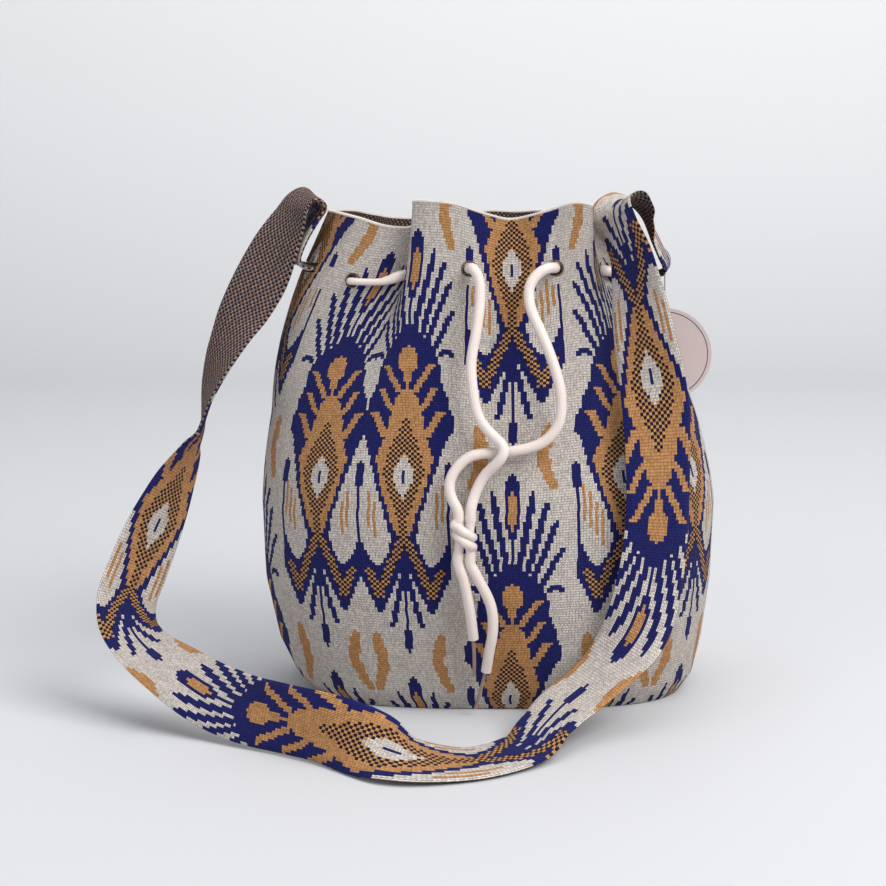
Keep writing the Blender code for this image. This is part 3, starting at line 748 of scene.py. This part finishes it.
def strapFrames(steps):
    path = smoothCurve(strapPath, steps)
    centre = path[:, :3] * 0.001
    yaw, tilt = np.radians(path[:, 3]), np.radians(path[:, 4])
    width = np.column_stack([np.cos(tilt) * np.cos(yaw), np.cos(tilt) * np.sin(yaw), np.sin(tilt)])
    run = np.gradient(centre, axis=0)
    run /= np.linalg.norm(run, axis=1, keepdims=True)
    width -= run * np.sum(width * run, axis=1, keepdims=True)
    width /= np.linalg.norm(width, axis=1, keepdims=True)
    return centre, width, np.cross(run, width)


def strapCourses(run):
    # Marks along the strap where the ornament is known, and even courses before and after them
    marks, courses, high = strap["marksAt"], strap["courses"], strap["courseHeight"]
    before = np.minimum(run - marks[0], 0) / high
    after = np.maximum(run - marks[-1], 0) / high
    return np.interp(run, marks, courses) + before + after


def makeStrap():
    centre, width, facing = strapFrames(strap["steps"])
    run = lengths(centre)
    print("strap length", round(float(run[-1]), 3))
    course = strapCourses(run)
    count = strap["across"]
    flat = np.linspace(-1, 1, count + 1)
    half = np.sqrt(np.maximum(0.0, 1 - np.abs(flat) ** strap["square"])) * strap["thick"] / 2
    top = [(a * strap["width"] / 2, h) for a, h in zip(flat, half)]
    low = [(a * strap["width"] / 2, -h) for a, h in zip(flat[1:-1][::-1], half[1:-1][::-1])]
    section = top + low
    sides = len(section)
    wale = [a / layout["waleWidth"] for a, _ in section]
    verts = [c + w * a + f * b for c, w, f in zip(centre, width, facing) for a, b in section]
    faces, looks, stitches = [], [], []
    for i in range(len(centre) - 1):
        near, far = course[i], course[i + 1]
        for k in range(sides):
            m = (k + 1) % sides
            faces.append((i * sides + k, (i + 1) * sides + k, (i + 1) * sides + m, i * sides + m))
            looks.append(1 if k < count else 0)
            stitches.extend([(wale[k], near), (wale[k], far), (wale[m], far), (wale[m], near)])
    ends = [tuple(range(sides)), tuple(reversed(range(len(verts) - sides, len(verts))))]
    for face in ends:
        faces.append(face)
        looks.append(0)
        stitches.extend([(0.0, 0.0)] * sides)
    finishes = [knitMaterial("strapFront", "strap"), knitMaterial("strapReverse", "reverse")]
    piece = meshPiece("knit_strap", verts, faces, finishes, looks, stitches)
    turnOutwards(piece)
    return piece


knitStrap = makeStrap()
standIn(knitStrap, "shoulder_strap")
print("strap:", len(knitStrap.data.polygons), "faces")


# Stitches over the mouth's edge and round the eyelets, set by Geometry Nodes on points

def makeStitchTree():
    tree = bpy.data.node_groups.new("edgeStitches", "GeometryNodeTree")
    for way, label, kind in (("INPUT", "Geometry", "Geometry"), ("INPUT", "Stitch Length", "Float"),
                             ("INPUT", "Stitch Width", "Float"), ("INPUT", "Stitch Height", "Float"),
                             ("INPUT", "Finish", "Material"), ("OUTPUT", "Geometry", "Geometry")):
        newSocket(tree, way, label, kind)
    given, result = tree.nodes.new("NodeGroupInput").outputs, tree.nodes.new("NodeGroupOutput").inputs
    bead = node(tree, "GeometryNodeMeshUVSphere", {"Segments": 8, "Rings": 5, "Radius": 0.5})
    size = node(tree, "ShaderNodeCombineXYZ", {k: given["Stitch " + label] for k, label in
                                               enumerate(("Length", "Width", "Height"))})
    run, lift = [node(tree, "GeometryNodeInputNamedAttribute", {"Name": label}, data_type="FLOAT_VECTOR")
                 for label in ("run", "lift")]
    first = node(tree, "FunctionNodeAlignRotationToVector", {"Vector": run.outputs[0]}, axis="X")
    second = node(tree, "FunctionNodeAlignRotationToVector", {"Rotation": first.outputs[0],
                                                              "Vector": lift.outputs[0]},
                  axis="Z", pivot_axis="X")
    spread = node(tree, "GeometryNodeInstanceOnPoints", {
        "Points": given["Geometry"], "Instance": bead.outputs["Mesh"], "Rotation": second.outputs[0],
        "Scale": size.outputs[0]})
    real = node(tree, "GeometryNodeRealizeInstances", {"Geometry": spread.outputs["Instances"]})
    finish = node(tree, "GeometryNodeSetMaterial", {"Geometry": real.outputs["Geometry"],
                                                    "Material": given["Finish"]})
    feed(result["Geometry"], finish.outputs["Geometry"])
    return tree


stitchTree = makeStitchTree()


def sewStitches(name, points, runs, lifts, finish, sizes):
    mesh = bpy.data.meshes.new(name)
    mesh.from_pydata([tuple(map(float, p)) for p in points], [], [])
    for label, values in (("run", runs), ("lift", lifts)):
        layer = mesh.attributes.new(label, "FLOAT_VECTOR", "POINT")
        layer.data.foreach_set("vector", np.array(values, dtype=np.float32).ravel())
    piece = linkNew(name, mesh)
    step = piece.modifiers.new("stitches", "NODES")
    step.node_group = stitchTree
    values = dict(zip(("Stitch Length", "Stitch Width", "Stitch Height"), sizes), Finish=finish)
    for item in stitchTree.interface.items_tree:
        if item.in_out == "INPUT" and item.name in values:
            step[item.identifier] = values[item.name]
    evaluated = piece.evaluated_get(bpy.context.evaluated_depsgraph_get())
    made = bpy.data.meshes.new_from_object(evaluated)
    piece.modifiers.remove(step)
    piece.data = made
    made.shade_smooth()
    if not made.materials:
        made.materials.append(finish)
    return piece


def threadMaterial(name, colour):
    made, tree, shader = newMaterial(name, 0.75, sheen=0.2)
    grain = noiseOf(objectPlace(tree), 2500.0)
    darker = tuple(c * 0.8 for c in colour[:3]) + (1,)
    feed(shader.inputs["Base Color"], mixColours(grain, darker, colour))
    addBump(shader, grain, 0.0001, 0.6)
    return made


rim = {"width": 0.0032, "height": 0.0017, "lift": -0.0008, "colour": (0.60, 0.55, 0.49, 1), "sides": 10,
       "thread": (0.64, 0.585, 0.52, 1), "stitch": (0.0034, 0.0012, 0.0008), "stitchLift": 0.36}


def makeRim():
    columns = layout["wales"]
    top = wallRows([0.998, 1.0], columns)
    normal = outward(top)[1]
    normal[:, 2] = 0
    normal /= np.linalg.norm(normal, axis=1, keepdims=True)
    centre = top[1] + np.array([0, 0, rim["lift"] + rim["height"] / 2])
    verts, faces = [], []
    for k in range(rim["sides"]):
        turn = 2 * math.pi * k / rim["sides"]
        rise = np.array([0, 0, math.sin(turn) * rim["height"] / 2])
        verts.extend(centre + normal * math.cos(turn) * rim["width"] / 2 + rise)
    for k in range(rim["sides"]):
        m = (k + 1) % rim["sides"]
        for j in range(columns):
            n = (j + 1) % columns
            faces.append((k * columns + j, k * columns + n, m * columns + n, m * columns + j))
    tape = meshPiece("mouth_edge", verts, faces, [threadMaterial("edgeTape", rim["colour"])])
    turnOutwards(tape)
    lift = np.tile([0.0, 0.0, 1.0], (columns, 1))
    sewn = sewStitches("mouth_edge_stitches", centre + lift * rim["height"] * rim["stitchLift"], normal, lift,
                       threadMaterial("edgeThread", rim["thread"]), rim["stitch"])
    return tape, sewn


mouthEdge, mouthStitches = makeRim()
standIn(mouthEdge, "rim_binding")
standIn(mouthStitches)

eyelet = {"stitches": 30, "reach": 0.0041, "colour": (0.120, 0.060, 0.035, 1),
          "stitch": (0.0011, 0.0010, 0.0008)}


def makeEyelets():
    points, runs, lifts = [], [], []
    for share in holes["shares"]:
        point, facing = wallAt(share, holes["height"])
        facing = Vector(facing)
        side = facing.cross(Vector((0, 0, 1))).normalized()
        upward = side.cross(facing).normalized()
        for k in range(eyelet["stitches"]):
            turn = 2 * math.pi * k / eyelet["stitches"]
            radial = side * math.cos(turn) + upward * math.sin(turn)
            for way in (1, -1):
                points.append(Vector(point) + radial * eyelet["reach"] + facing * way * wall["thick"] * 0.5)
                runs.append(radial)
                lifts.append(facing * way)
    return sewStitches("eyelet_stitches", points, runs, lifts,
                       threadMaterial("eyeletThread", eyelet["colour"]), eyelet["stitch"])


eyelets = makeEyelets()
standIn(eyelets)
print("edge and eyelets sewn")


# Drawcord, its knot, two tails with their thin inner cord, and the tag's string

cord = {"diameter": 0.0058, "core": 0.0020, "string": 0.0011, "inside": 0.0072, "outside": 0.0056,
        "lift": 0.0095, "lean": 0.5, "stops": (0.822, 0.580), "step": 3.5, "softStep": 0.0012,
        "softRounds": 8, "knot": (-14.5, -87, 103), "knotHeight": 0.017, "gap": 0.0005, "spread": 0.0066,
        "slitReach": 0.036, "slitBlend": 0.014, "coreSunk": 0.002}
pinch = {"at": (-0.069, -0.036, 0.243), "reach": 0.019, "blend": 0.006, "share": 0.66}
strandA = [(-10, -62.5, 245), (-7, -63.5, 240), (-6, -66, 230), (-8, -71, 213), (-11, -75, 196),
           (-10, -78.5, 180), (-7, -81, 167), (0, -83, 158), (6.5, -87, 152), (4.5, -88, 145.5),
           (-4, -84, 136), (-9, -84.5, 126)]
strandB = [(31.5, -58.5, 245), (25.5, -60.5, 242.5), (20.5, -63, 236), (20, -65, 229), (21.5, -68, 222),
           (26, -72, 212), (31, -75.5, 200), (36, -79, 184), (37, -81, 170), (34.5, -81.5, 161.5),
           (28, -81.5, 154), (18, -81, 150), (5, -80.5, 148), (-9, -81.5, 147), (-17, -82, 142),
           (-22.5, -83.5, 133), (-21.5, -85.5, 124)]
tails = {"left": ([(-15, -87, 80), (-11.5, -86, 62), (-9.5, -83.5, 46)], [(-9, -82, 35), (-9, -79.5, 24)]),
         "right": ([(-8, -87, 82), (-0.5, -86, 66), (1, -85, 52), (-1, -83, 38), (-2.5, -80.5, 27)],
                   [(-5.5, -78, 15), (-8, -74, 4)])}
stringPath = [(101, 14.5, 249), (103, 25, 244), (105, 38, 226), (106.3, 47, 210.5)]


def liftOverSlits(point):
    away = min(math.hypot(point[0] - x * 0.001, point[1] - y * 0.001) for x, y, _, _ in slits["places"])
    return cord["lift"] * min(1.0, max(0.0, (cord["slitReach"] - away) / cord["slitBlend"]))


def cordRoute():
    top = metres(cord["knot"]) + np.array([0, 0, cord["knotHeight"] / 2 + cord["gap"]])
    side = np.array([cord["spread"] / 2, 0, 0])
    up = np.array([0, 0, cord["diameter"]])
    route = [top + side, top + side + up] + list(metres(strandA[::-1]))
    within = True
    for first, second in zip(holes["shares"][:-1], holes["shares"][1:]):
        route.append(wallAt(first, holes["height"])[0])
        if within:
            spans = max(2, round((first - second) * wall["samples"] / cord["step"]))
            shares = [first + (second - first) * number / spans for number in range(spans + 1)]
        else:
            shares = [first] + [stop for stop in cord["stops"] if second < stop < first] + [second]
        for share in shares:
            point, facing = wallAt(share, holes["height"])
            point = point + facing * (-cord["inside"] if within else cord["outside"])
            if within and share not in (first, second):
                lift = liftOverSlits(point)
                point = point + np.array([0, 0, lift]) - facing * lift * cord["lean"]
            route.append(point)
        within = not within
    route.append(wallAt(holes["shares"][-1], holes["height"])[0])
    return route + list(metres(strandB)) + [top - side + up, top - side]


def tubePiece(name, path, radius, look, sides=14):
    # A round tube that turns as little as it can along its path; its map holds side number and mm along
    path = np.array(path)
    run = np.gradient(path, axis=0)
    run /= np.linalg.norm(run, axis=1, keepdims=True)
    side = Vector(run[0]).orthogonal().normalized()
    rings, along = [], lengths(path)
    radii = np.broadcast_to(radius, len(path))
    turns = [2 * math.pi * k / sides for k in range(sides)]
    for point, ahead, thick in zip(path, run, radii):
        ahead = Vector(ahead)
        side = (side - ahead * side.dot(ahead)).normalized()
        other = ahead.cross(side)
        spokes = [side * math.cos(turn) + other * math.sin(turn) for turn in turns]
        rings.append([Vector(point) + spoke * thick for spoke in spokes])
    verts = [v for ring in rings for v in ring]
    faces, stitches = [], []
    for i in range(len(rings) - 1):
        for k in range(sides):
            m = (k + 1) % sides
            faces.append((i * sides + k, i * sides + m, (i + 1) * sides + m, (i + 1) * sides + k))
            near, far = along[i] * 1000, along[i + 1] * 1000
            stitches.extend([(k, near), (k + 1, near), (k + 1, far), (k, far)])
    for end, flip in ((0, True), (len(rings) - 1, False)):
        centre = len(verts)
        direction = Vector(run[end]) * (-1 if flip else 1)
        verts.append(Vector(path[end]) + direction * radii[end] * 0.25)
        for k in range(sides):
            m = (k + 1) % sides
            a, b = end * sides + k, end * sides + m
            faces.append((centre, b, a) if flip else (centre, a, b))
            stitches.extend([(k, along[end] * 1000)] * 3)
    return meshPiece(name, verts, faces, [look], None, stitches, 60)


def cordMaterial(name, colour, shade):
    # Smooth sleeve with faint lengthwise ribs, a little darker in patches
    made, tree, shader = newMaterial(name, 0.42, sheen=0.15, coat=0.12)
    around, along = stitchPlace(tree)
    rib = sine(times(around, 2 * math.pi))
    loop = sine(times(along, 2 * math.pi / 0.7))
    patches = noiseOf(objectPlace(tree), 60.0)
    feed(shader.inputs["Base Color"], mixColours(patches, shade, colour))
    addBump(shader, timesPlus(loop, 0.3, rib), 0.00006, 0.7)
    return made


sleeve = cordMaterial("cordSleeve", (0.74, 0.645, 0.600, 1), (0.66, 0.565, 0.515, 1))
innerCord = cordMaterial("innerCord", (0.36, 0.25, 0.19, 1), (0.22, 0.14, 0.10, 1))
paleString = cordMaterial("paleString", (0.80, 0.76, 0.70, 1), (0.66, 0.62, 0.56, 1))


def cordRadii(path):
    # The cord is pulled thin where it lies in the left fold of the mouth
    away = np.linalg.norm(path - np.array(pinch["at"]), axis=1)
    near = np.clip((pinch["reach"] - away) / pinch["blend"], 0, 1)
    return cord["diameter"] / 2 * (1 - near * (1 - pinch["share"]))


def softened(path):
    # Even steps, and corners rounded a little where the cord threads the holes
    path = evenly(path, int(lengths(path)[-1] / cord["softStep"]), False)
    for _ in range(cord["softRounds"]):
        path[3:-3] = (path[2:-4] + 2 * path[3:-3] + path[4:-2]) / 4
    return path


drawPath = softened(smoothCurve(cordRoute(), 5))
drawcord = tubePiece("drawcord_sleeve", drawPath, cordRadii(drawPath), sleeve, 16)
print("drawcord length", round(float(lengths(drawPath)[-1]), 3))
standIn(drawcord, "drawcord")


knotForm = {"turns": 1.75, "from": 200, "steps": 60, "radius": 0.0044, "high": 0.0046, "slant": 0.0022,
            "start": [(-0.0045, -0.001, 0.0085), (-0.0055, -0.0015, 0.0068)], "end": (0.0030, 0.001, -0.0068),
            "strand": (0.0026, 0.003), "share": 0.88}


def makeKnot():
    # The strands run down together inside nearly two turns of cord that wrap them
    x, y, z = metres(cord["knot"])
    reach, ends = cord["spread"] / 2, cord["knotHeight"] / 2 + cord["gap"]
    wrap = []
    for number in range(knotForm["steps"] + 1):
        share = number / knotForm["steps"]
        angle = math.radians(knotForm["from"]) + 2 * math.pi * knotForm["turns"] * share
        wrap.append((x + knotForm["radius"] * math.cos(angle), y + knotForm["radius"] * math.sin(angle),
                     z + knotForm["high"] * (1 - 2 * share) - knotForm["slant"] * math.cos(angle)))
    start = [(x + a, y + b, z + c) for a, b, c in knotForm["start"]]
    a, b, c = knotForm["end"]
    end = [(x + a, y + b, z + c), (x + reach, y, z - ends)]
    paths = [smoothCurve(start + wrap[2:-4] + end, 2)]
    inner, high = knotForm["strand"]
    for side in (-1, 1):
        paths.append(smoothCurve([(x + side * reach, y, z + ends), (x + side * inner, y, z + high),
                                  (x + side * inner, y, z - high), (x + side * reach, y, z - ends)], 8))
    return [tubePiece(f"knot_part_{k}", path, cord["diameter"] / 2 * knotForm["share"], sleeve)
            for k, path in enumerate(paths)]


def joinPieces(pieces, name):
    with bpy.context.temp_override(active_object=pieces[0], selected_editable_objects=pieces,
                                   selected_objects=pieces):
        bpy.ops.object.join()
    pieces[0].name = name
    pieces[0].data.name = name
    return pieces[0]


knot = joinPieces(makeKnot(), "overhand_knot")
standIn(knot, "cord_knot")

foot = metres(cord["knot"]) - np.array([0, 0, cord["knotHeight"] / 2 + cord["gap"]])
for name, sign in (("left", -1), ("right", 1)):
    tail, core = tails[name]
    start = foot + np.array([sign * cord["spread"] / 2, 0, 0])
    points = [start, start - np.array([0, 0, cord["diameter"]])] + list(metres(tail))
    tailPath = smoothCurve(points, 8)
    tip = points[-1] - points[-2]
    tip /= np.linalg.norm(tip)
    corePath = smoothCurve([points[-1] - tip * cord["coreSunk"]] + list(metres(core)), 8)
    sleeveTail = tubePiece(f"tail_{name}", tailPath, cord["diameter"] / 2, sleeve, 16)
    bareCore = tubePiece(f"tail_core_{name}", corePath, cord["core"] / 2, innerCord, 10)
    standIn(sleeveTail, "cord_tail_" + name)
    standIn(bareCore, "cord_core_" + name)


# Tag: the CAD disc with a printed card finish, on its thin string

tag = {"centre": (0.107, 0.050, 0.185), "heading": -6, "eyeRise": 0.022, "knotBack": 0.003,
       "ringAt": 0.0256, "ringHalf": 0.00028,
       "colour": (0.66, 0.56, 0.545, 1), "shade": (0.57, 0.47, 0.455, 1), "ink": (0.06, 0.06, 0.07, 1)}


def cardMaterial():
    made, tree, shader = newMaterial("tagCard", 0.6)
    place = objectPlace(tree)
    away = node(tree, "ShaderNodeVectorMath", {0: place, 1: tag["centre"]}, operation="DISTANCE")
    ring = close(away.outputs["Value"], tag["ringAt"], tag["ringHalf"])
    fibre = noiseOf(place, 700.0, 4.0)
    card = mixColours(fibre, tag["shade"], tag["colour"])
    feed(shader.inputs["Base Color"], mixColours(ring, card, tag["ink"]))
    addBump(shader, fibre, 0.00005)
    return made


def dressNode(target, look):
    if not target.material_slots:
        target.data.materials.append(look)
    for slot in target.material_slots:
        slot.material = look


dressNode(bpy.data.objects["hang_tag"], cardMaterial())

heading = math.radians(tag["heading"])
facing = np.array([math.sin(heading), -math.cos(heading), 0])
eye = np.array(tag["centre"]) + np.array([0, 0, tag["eyeRise"]])
stringCurve = smoothCurve(list(metres(stringPath)) + [eye, eye - facing * tag["knotBack"]], 6)
tagString = tubePiece("tag_string_thread", stringCurve, cord["string"] / 2, paleString, 8)
standIn(tagString, "tag_string")
print("cords and tag placed")


# Floor and backdrop in one pale sweep, soft light from the upper right

sweep = {"front": -1.9, "bend": 1.3, "radius": 0.5, "high": 2.2, "half": 3.0, "steps": 16, "below": 0.0004,
         "floor": (0.53, 0.535, 0.555, 1), "back": (0.76, 0.765, 0.77, 1)}


def makeSweep():
    outline = [(sweep["front"], 0.0), (sweep["bend"], 0.0)]
    for number in range(1, sweep["steps"] + 1):
        angle = math.radians(90 * number / sweep["steps"])
        outline.append((sweep["bend"] + sweep["radius"] * math.sin(angle),
                        sweep["radius"] * (1 - math.cos(angle))))
    outline.append((sweep["bend"] + sweep["radius"], sweep["high"]))
    verts = [(side * sweep["half"], y, z - sweep["below"]) for y, z in outline for side in (-1, 1)]
    faces = [(2 * i, 2 * i + 1, 2 * i + 3, 2 * i + 2) for i in range(len(outline) - 1)]
    made, tree, shader = newMaterial("paleSweep", 0.8)
    high = times(apart(objectPlace(tree))[2], 1 / sweep["radius"])
    feed(shader.inputs["Base Color"], mixColours(high, sweep["floor"], sweep["back"]))
    return meshPiece("pale_sweep", verts, faces, [made])


makeSweep()


def areaLight(name, place, target, size, power, colour):
    data = bpy.data.lights.new(name, "AREA")
    data.shape = "RECTANGLE"
    data.size, data.size_y = size
    data.energy = power
    data.color = colour
    lamp = linkNew(name, data)
    lamp.location = place
    lamp.rotation_euler = (Vector(target) - Vector(place)).to_track_quat("-Z", "Y").to_euler()


areaLight("key_light", (1.5, -1.3, 1.9), (0, 0, 0.1), (1.6, 1.6), 70, (1.0, 0.985, 0.96))
areaLight("fill_light", (-1.6, -1.6, 1.2), (0, 0, 0.12), (1.8, 1.8), 16, (0.94, 0.96, 1.0))
areaLight("top_light", (0.2, 0.2, 2.2), (0, 0, 0), (2.2, 2.2), 26, (1.0, 1.0, 1.0))
world = bpy.context.scene.world or bpy.data.worlds.new("world")
bpy.context.scene.world = world
world.use_nodes = True
background = world.node_tree.nodes["Background"]
background.inputs["Color"].default_value = (0.93, 0.95, 1.0, 1)
background.inputs["Strength"].default_value = 0.42
bpy.context.scene.view_settings.view_transform = "Standard"
print("stage and lights set")
